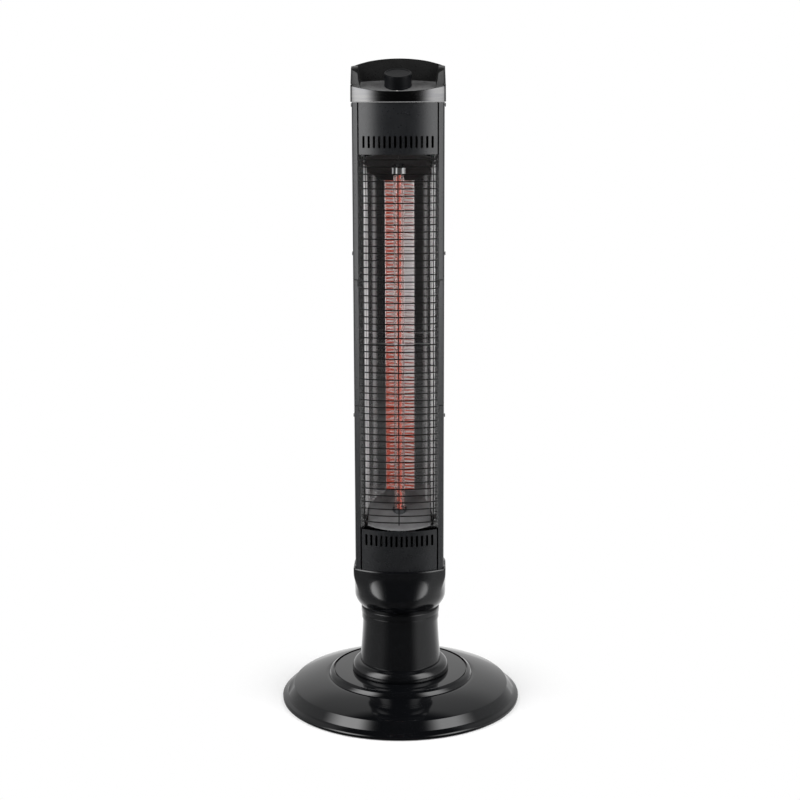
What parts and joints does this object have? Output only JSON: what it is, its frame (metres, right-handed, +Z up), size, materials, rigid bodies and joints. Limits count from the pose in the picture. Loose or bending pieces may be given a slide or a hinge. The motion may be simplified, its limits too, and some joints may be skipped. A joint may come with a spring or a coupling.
{
  "type": "infrared patio heater tower",
  "caption": "free-standing infrared heater: a guarded quartz tube and reflector in a slim convex housing on a flared column and round weighted base, with a selector knob on its sloping top",
  "frame": {"origin": "on the floor, under the middle of the round base", "axes": "+Z up along the tower; the open front with its guard faces -Y; +X is to the right for someone who looks at the front"},
  "size_m": [0.352, 0.352, 0.9336],
  "materials": {
    "gloss_black_plastic": "high gloss moulded",
    "cast_weight": "rough cast",
    "rubber": "matt",
    "fastener_steel": "zinc plated",
    "satin_black_paint": "satin powder coat",
    "black_cap_plastic": "satin moulded",
    "bright_trim": "dark bright plating",
    "polished_reflector": "mirror polished",
    "plated_steel": "plain plated",
    "black_wire": "black coated wire",
    "quartz_glass": "clear",
    "glowing_carbon": "glowing",
    "ceramic": "unglazed white",
    "insulator": "moulded"
  },
  "bodies": {
    "tower": {"base_cover": "gloss_black_plastic", "base_screw_1": "fastener_steel", "base_screw_2": "fastener_steel", "base_screw_3": "fastener_steel", "base_screw_4": "fastener_steel", "base_weight": "cast_weight", "cable_gland": "rubber", "cap_band": "bright_trim", "carbon_element": "glowing_carbon", "chassis_plate_lower": "plated_steel", "chassis_plate_upper": "plated_steel", "collar": "gloss_black_plastic", "collar_screw_1": "fastener_steel", "collar_screw_2": "fastener_steel", "collar_screw_3": "fastener_steel", "collar_screw_4": "fastener_steel", "column": "gloss_black_plastic", "foot_pad_1": "rubber", "foot_pad_2": "rubber", "foot_pad_3": "rubber", "foot_pad_4": "rubber", "front_panel_lower": "satin_black_paint", "front_panel_upper": "satin_black_paint", "guard": "black_wire", "guard_clip_lower_left": "plated_steel", "guard_clip_lower_right": "plated_steel", "guard_clip_upper_left": "plated_steel", "guard_clip_upper_right": "plated_steel", "lamp_cap_lower": "ceramic", "lamp_cap_upper": "ceramic", "neck_ring": "gloss_black_plastic", "quartz_tube": "quartz_glass", "rear_housing_lower": "satin_black_paint", "rear_housing_middle": "satin_black_paint", "rear_housing_upper": "satin_black_paint", "reflector": "polished_reflector", "reflector_end_lower": "polished_reflector", "reflector_end_upper": "polished_reflector", "rotary_switch": "insulator", "side_frame_left": "satin_black_paint", "side_frame_right": "satin_black_paint", "side_screw_left_1": "satin_black_paint", "side_screw_left_2": "satin_black_paint", "side_screw_left_3": "satin_black_paint", "side_screw_left_4": "satin_black_paint", "side_screw_right_1": "satin_black_paint", "side_screw_right_2": "satin_black_paint", "side_screw_right_3": "satin_black_paint", "side_screw_right_4": "satin_black_paint", "supply_loom": "insulator", "terminal_block": "ceramic", "thermal_cutout": "insulator", "tilt_microswitch": "insulator", "tilt_switch_frame": "plated_steel", "top_cap": "black_cap_plastic", "tower_floor": "plated_steel", "tube_support": "plated_steel"},
    "knob": {"selector_knob": "gloss_black_plastic", "switch_shaft": "fastener_steel"},
    "tilt_weight": {"tilt_pendulum": "cast_weight"}
  },
  "joints": [
    {"name": "knob_turn", "type": "hinge", "parent": "tower", "child": "knob", "pos_m": [0, -0.039, 0.89542], "axis": [0, -0.342, 0.9397], "range_deg": [-90, 90]},
    {"name": "tilt_swing", "type": "hinge", "parent": "tower", "child": "tilt_weight", "pos_m": [-0.028, 0.008, 0.246], "axis": [1, 0, 0], "range_deg": [-20, 20]}
  ]
}
